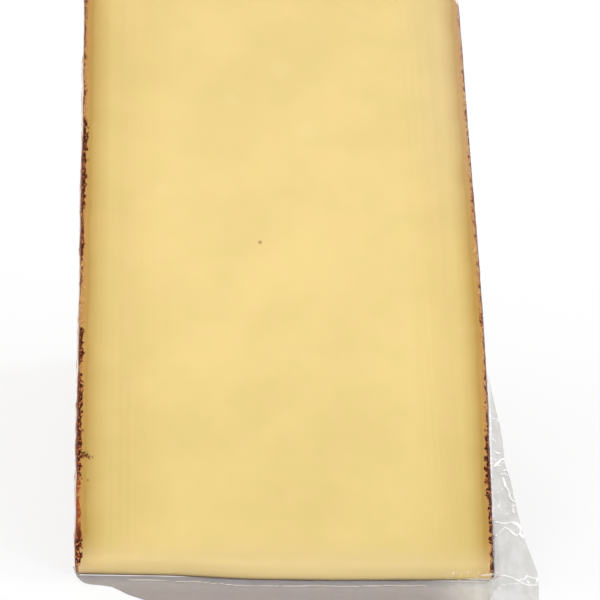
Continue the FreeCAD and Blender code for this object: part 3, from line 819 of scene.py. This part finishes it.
def paste_colour(s, place, x, along, radius, depth, near_cut):
    """The paste, from the tan zone under the rind inwards."""
    soft_depth = s.moved(depth, s.noise(place, 0.16, 2), 1.2)
    # The tan zone is narrower on the right.
    beyond = s.math("MAXIMUM", s.math("SUBTRACT", soft_depth, 2.0), 0.0)
    beyond = s.times(beyond, s.step(x, 0.0, 30.0, 0.0, 0.25))
    soft_depth = s.math("ADD", soft_depth, beyond)
    paste = s.ramp(
        s.math("DIVIDE", soft_depth, 20.0, clamp=True),
        (
            (0.0, srgb(202, 150, 88)),
            (0.05, srgb(206, 161, 92)),
            (0.085, srgb(199, 162, 86)),
            (0.12, srgb(212, 179, 108)),
            (0.215, srgb(226, 198, 128)),
            (0.31, srgb(233, 209, 140)),
            (0.5, srgb(237, 212, 146)),
            (0.72, srgb(240, 216, 149)),
            (1.0, srgb(242, 219, 153)),
        ),
    )

    # Broad clouds, fine streaks along both sides, and a faint mottle of warm and cool.
    cloudy = s.step(s.noise(place, 0.05, 3, 0.55), 0.35, 0.65)
    paste = s.mix(cloudy, paste, srgb(250, 250, 247), "MULTIPLY")
    streaks = s.step(s.noise(place, 1.0, 2, 0.6, stretch=(1.1, 0.008, 0.008)), 0.42, 0.62)
    streaks = s.times(streaks, s.step(s.math("ABSOLUTE", x), 22.0, 36.0, 0.12, 1.0))
    paste = s.mix(streaks, paste, srgb(253, 253, 251), "MULTIPLY")
    mottle = s.step(s.noise(place, 0.17, 3, 0.6, shift=(5, 8, 1)), 0.40, 0.60)
    mottle = s.mix(mottle, srgb(255, 254, 254), srgb(253, 254, 251))
    paste = s.mix(1.0, paste, mottle, "MULTIPLY")

    # Painted shade: the paste is darker towards the point. Painted light and film sheen: it is
    # greyer where the cut turns down round the point.
    paste = s.mix(s.step(along, 75.0, 15.0), paste, srgb(246, 246, 240), "MULTIPLY")
    painted_point_tone = s.times(s.step(radius, 11.0, 4.0), 0.55)
    paste = s.mix(painted_point_tone, paste, srgb(226, 203, 152))

    pale = 0.0
    for across, out, size in FLECKS:
        pale = s.math("MAXIMUM", pale, spot(s, x, along, (across, out), size, 0.8))
    paste = s.mix(s.times(pale, near_cut, 0.1), paste, srgb(255, 244, 200))
    eye = s.times(spot(s, x, along, (-4.5, 80.9), 0.42), near_cut)
    speck = s.times(spot(s, x, along, (-41.4, 22.5), 0.3), near_cut)
    return s.mix(s.times(s.math("MAXIMUM", eye, speck), 0.65), paste, srgb(168, 108, 56))


def crust_height(s, x, along, near_cut, blotch):
    """How thickly the dark rind lies at a place, from nought to about one."""
    reach = WHEEL_RADIUS / MM
    sides = [
        s.ramp(s.math("DIVIDE", along, reach), [(out / reach, share) for out, share in crust])
        for crust in (LEFT_CRUST, RIGHT_CRUST)
    ]
    beside_cut = s.mix(s.step(x, -20.0, 20.0), *sides)
    return s.mix(near_cut, s.step(blotch, 0.36, 0.62, 0.2, 1.15), beside_cut)


def rind_colours(s, crumbs, grain, scuffed):
    """The two colours of the rind: tan with orange scuffs and crumbs, and dark brown."""
    tan = s.ramp(
        crumbs,
        (
            (0.0, srgb(170, 108, 58)),
            (0.2, srgb(194, 138, 76)),
            (0.5, srgb(206, 154, 90)),
            (0.8, srgb(216, 168, 106)),
            (1.0, srgb(238, 202, 148)),
        ),
    )
    tan = s.mix(scuffed, tan, srgb(250, 214, 178), "MULTIPLY")
    dark = s.ramp(
        grain,
        (
            (0.15, srgb(62, 20, 6)),
            (0.5, srgb(92, 35, 13)),
            (0.75, srgb(120, 52, 22)),
            (0.9, srgb(162, 84, 40)),
            (1.0, srgb(214, 142, 92)),
        ),
    )
    return tan, dark


def crack_share(s, x, along, grain, crumbs):
    """1 in the slanting crack that lets the dark rind into the paste, low on the left."""
    x = s.moved(x, grain, 1.2)
    along = s.moved(along, crumbs, 1.3)
    slant = s.math("ADD", along, s.times(s.math("ADD", x, 44.0), 0.6))
    away = s.math("ABSOLUTE", s.math("SUBTRACT", slant, 29.5))
    half_width = s.step(x, -43.5, -41.2, 0.75, 0.45)
    crack = s.step(s.math("SUBTRACT", away, half_width), 0.1, -0.1)
    return s.times(crack, s.step(x, -40.8, -41.1))


def cheese_material():
    """Rind, the tan zone under it and the paste, by depth below the wheel's own surface."""
    s = surface("cheese")
    place, x, y, z = s.wedge_place()
    radius = s.math("SQRT", s.math("ADD", s.times(y, y), s.times(z, z)))
    # along runs up the upper cut from the wheel's axis, and below straight down from it.
    along = s.times(s.math("ADD", y, z), math.sqrt(0.5))
    below = s.times(s.math("SUBTRACT", y, z), math.sqrt(0.5))
    near_cut = s.step(below, 6.0, 2.5)
    depth = rind_depth(s, x, radius, below)
    behind_point = s.step(radius, 3.8, 4.9)

    crumbs = s.step(s.noise(place, 1.7, 2, 0.6), 0.34, 0.66, smooth=False)
    grain = s.step(s.noise(place, 2.1, 1, 0.5, shift=(7, 1, 2)), 0.34, 0.66, smooth=False)
    flakes = s.noise(place, 1.7, 2, 0.6, stretch=(1, 0.5, 0.5))
    flakes = s.step(flakes, 0.34, 0.66, smooth=False)
    blotch = s.noise(place, 0.07, 4, 0.62, shift=(3, 11, 5))
    ochre = s.noise(place, 0.13, 3, 0.6, shift=(13, 2, 9))
    height = crust_height(s, x, along, near_cut, blotch)
    scuffed = s.times(s.step(ochre, 0.42, 0.58), s.step(height, 0.3, 0.8))
    tan, dark = rind_colours(s, crumbs, grain, scuffed)

    # The paste, with the tan rind round it, paler at the right and at both ends of the point, where
    # painted film sheen lies over it.
    ragged = s.moved(depth, flakes, 0.85)
    tan_share = s.times(s.step(ragged, 1.0, 0.3), behind_point)
    paste = paste_colour(s, place, x, along, radius, depth, near_cut)
    colour = s.mix(tan_share, paste, tan)
    # Painted film sheen over the right of the upper cut.
    painted_sheen = s.times(s.step(x, 26.0, 42.0), s.step(along, 70.0, 122.0), near_cut, 0.085)
    colour = s.mix(painted_sheen, colour, srgb(250, 246, 250))
    # Painted film sheen at both ends of the point.
    corner = s.step(s.math("ABSOLUTE", x), 36.0, 43.0)
    corner = s.math("SUBTRACT", corner, behind_point, clamp=True)
    colour = s.mix(s.times(corner, 0.55), colour, srgb(236, 208, 178))

    # The dark rind, rusty for a stretch at the left, and the crack that it fills.
    rusty = s.step(s.math("ABSOLUTE", s.math("SUBTRACT", along, 17.5)), 8.0, 4.0)
    rusty = s.times(rusty, s.step(x, -20.0, -30.0, 0.0, 0.6), near_cut)
    dark = s.mix(rusty, dark, srgb(190, 92, 38))
    reach = s.math("SUBTRACT", s.times(height, 1.3), 0.45)
    dark_share = s.step(s.math("SUBTRACT", ragged, reach), 0.12, -0.12)
    dark_share = s.times(dark_share, behind_point)
    colour = s.mix(dark_share, colour, dark)
    crack = s.times(crack_share(s, x, along, grain, crumbs), near_cut, 0.9)
    colour = s.mix(crack, colour, dark)

    crusty = s.math("MAXIMUM", dark_share, tan_share)
    relief = s.times(crumbs, crusty, 0.5)
    bump = s.node("Bump", Strength=0.6, Distance=0.6 * MM, Height=relief)
    shader = s.node(
        "BsdfPrincipled",
        Base_Color=colour,
        Roughness=s.step(crusty, 0.0, 1.0, 0.5, 0.8),
        Normal=bump.outputs[0],
    )
    shader.inputs["Specular IOR Level"].default_value = 0.15
    return s.finish(shader.outputs[0])


def film_gloss(s, roughness):
    return s.node("BsdfGlossy", Color=(1, 1, 1, 1), Roughness=roughness).outputs[0]


def facing_away(s, power):
    """0 where the film faces the eye, rising to 1 where it is seen edge on."""
    return s.math("POWER", s.node("LayerWeight", Blend=0.5).outputs["Facing"], power)


def skin_material():
    """Clear film: its gloss grows towards a glancing view."""
    s = surface("film_clear")
    place, x, _, z = s.wedge_place()
    clear = s.node("BsdfTransparent", Color=(0.985, 0.985, 0.985, 1)).outputs[0]

    # Seen edge on, the film is a thin pale line of haze and painted sheen, set by place: dull at
    # the left and bright at the right.
    dull = s.node("BsdfDiffuse", Color=srgb(238, 190, 150)).outputs[0]
    bright = s.node("BsdfGlossy", Color=srgb(252, 246, 240), Roughness=0.12).outputs[0]
    haze_and_sheen = s.blend(s.step(x, -30.0, 30.0), dull, bright)
    body = s.blend(s.times(facing_away(s, 3.5), 0.95), clear, haze_and_sheen)

    # Painted glints: small white patches where it gathers at the right end of the point, and a
    # painted white line along a fold below them.
    painted_glint = s.step(s.noise(place, 1.6, 1, 0.5, stretch=(0.6, 1, 1)), 0.6, 0.66)
    painted_glint = s.times(painted_glint, s.step(x, 30.0, 35.0), s.step(z, 2.4, 1.7))
    painted_fold_line = s.step(s.math("ABSOLUTE", s.math("SUBTRACT", z, 0.4)), 0.3, 0.12)
    painted_fold_line = s.times(painted_fold_line, s.step(x, 36.0, 38.0))
    white = s.node("BsdfDiffuse", Color=srgb(254, 250, 238)).outputs[0]
    body = s.blend(s.times(s.math("MAXIMUM", painted_glint, painted_fold_line), 0.7), body, white)
    return s.finish(s.blend(s.node("Fresnel", IOR=1.14).outputs[0], body, film_gloss(s, 0.07)))


def web_material(name, front=False):
    """Two films lying on each other: greyer than one, partly from their own loss and partly as
    painted shade, and greyest along the table, where the tint is painted shadow.
    """
    s = surface(name)
    tint = srgb(236, 236, 234)
    if front:
        place, x, y, _ = s.wedge_place()
        clouded = s.noise(place, 0.3, 2, 0.5, stretch=(1.6, 0.6, 0.6))
        tint = s.mix(s.step(clouded, 0.35, 0.65), tint, srgb(243, 242, 241))
        # Painted shadow: the web is tinted darker on the table left of the ear and in front of the
        # point, where the cheese's shadow falls.
        on_table = s.times(s.step(x, 40.0, 26.0), s.step(y, 3.0, -5.0, 0.7, 1.0))
        tint = s.mix(on_table, tint, srgb(204, 200, 205))
    clear = s.node("BsdfTransparent", Color=tint).outputs[0]
    haze_and_sheen = s.node("BsdfDiffuse", Color=srgb(248, 247, 246)).outputs[0]
    body = s.blend(0.06, clear, haze_and_sheen)
    if front:
        # Painted glints: creases catch the light whichever way the sheet leans, from a white share
        # of haze and gloss.
        crease_glint = s.node("Attribute", {"attribute_name": "crease_glint"}).outputs["Fac"]
        painted_glint = s.blend(s.step(x, 38.0, 43.0, 0.2, 0.85), haze_and_sheen, film_gloss(s, 0.4))
        body = s.blend(s.step(crease_glint, 0.08, 0.8, 0.0, 0.85), body, painted_glint)
    # The same share of gloss on both faces of the sheet, from inside and from outside.
    share = s.step(facing_away(s, 5.0), 0.0, 1.0, 0.035, 1.0, smooth=False)
    return s.finish(s.blend(share, body, film_gloss(s, 0.1)))


# ================================================================ the setting
WORLD_LIGHT = 0.68  # how strongly the surroundings light the scene, where 1 looks white
FLOOR_WHITE = 0.75  # how much of the floor is seen as plain white
LAMP_DISTANCE = 1.2

# The lamps: which way each lies from the wedge, how wide it is, and how bright its face is.
LAMPS = (
    ("key_left", (-0.55, -0.72, 0.26), 0.5, 6.1),
    ("fill_right", (0.62, -0.66, 0.26), 0.4, 7.2),
    ("back", (-0.1, 0.74, 0.66), 0.4, 8.0),
    ("back_right", (0.72, 0.42, 0.62), 0.3, 9.0),
)


def seen_share(s):
    """1 for the camera and for what gloss and clear film show, and 0 for light that falls."""
    rays = s.node("LightPath").outputs
    seen = s.math("MAXIMUM", rays["Is Camera Ray"], rays["Is Glossy Ray"])
    return s.math("MAXIMUM", seen, rays["Is Transmission Ray"])


def make_floor():
    bpy.ops.mesh.primitive_plane_add(size=12, location=(0, 0, 0))
    floor = name_new("floor")
    s = surface("table")
    paint = s.node("BsdfDiffuse", Color=srgb(244, 244, 244)).outputs[0]
    white = s.node("Emission", Color=(1, 1, 1, 1), Strength=1.0).outputs[0]
    floor.data.materials.append(
        s.finish(s.blend(s.times(seen_share(s), FLOOR_WHITE), paint, white))
    )


def light_world():
    """Plain white surroundings, which light the scene less than they show."""
    world = bpy.data.worlds.new("studio")
    bpy.context.scene.world = world
    s = Shading(world, "OutputWorld")
    strength = s.step(seen_share(s), 0.0, 1.0, WORLD_LIGHT, 1.0, smooth=False)
    s.finish(s.node("Background", Color=(1, 1, 1, 1), Strength=strength).outputs[0])


def softbox(name, direction, size, radiance):
    """A square area light that faces the middle of the wedge."""
    middle = AXIS + Vector((0, 60 * MM, 40 * MM))
    data = bpy.data.lights.new(name, "AREA")
    data.shape = "SQUARE"
    data.size = size
    data.energy = radiance * math.pi * size**2
    lamp = bpy.data.objects.new(name, data)
    bpy.context.scene.collection.objects.link(lamp)
    away = Vector(direction).normalized()
    lamp.location = middle + away * LAMP_DISTANCE
    lamp.rotation_euler = away.to_track_quat("Z", "Y").to_euler()


def make_camera():
    """A long lens, low in front of the point and a little to the left."""
    data = bpy.data.cameras.new("camera")
    data.sensor_width = 36
    data.lens = 141
    data.clip_start = 0.01
    camera = bpy.data.objects.new("camera", data)
    bpy.context.scene.collection.objects.link(camera)
    camera.location = AXIS + Vector((-54.2, -441.5, 180.8)) * MM
    turn, down, roll = (math.radians(a) for a in (6.78, 15.19, 3.49))
    level = Vector((math.sin(turn), math.cos(turn), 0)) * math.cos(down)
    ahead = level - Vector((0, 0, math.sin(down)))
    right = Vector((math.cos(turn), -math.sin(turn), 0))
    up = right.cross(ahead)
    tilted_right = right * math.cos(roll) + up * math.sin(roll)
    tilted_up = up * math.cos(roll) - right * math.sin(roll)
    camera.rotation_euler = Matrix((tilted_right, tilted_up, -ahead)).transposed().to_euler()
    bpy.context.scene.camera = camera


# ================================================================ put together
def install(piece, node, material):
    """Gives a piece its material and its place in the model."""
    piece.data.materials.clear()
    piece.data.materials.append(material)
    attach(piece, "root")
    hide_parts(node)


cheese = make_cheese()
install(cheese, "cheese_wedge", cheese_material())
install(make_skin(cheese), "vacuum_pouch", skin_material())
install(make_front_web(), "vacuum_pouch", web_material("film_front", front=True))
install(make_back_web(), "vacuum_pouch", web_material("film_back"))

make_floor()
light_world()
for lamp in LAMPS:
    softbox(*lamp)
make_camera()
bpy.context.scene.view_settings.view_transform = "Standard"
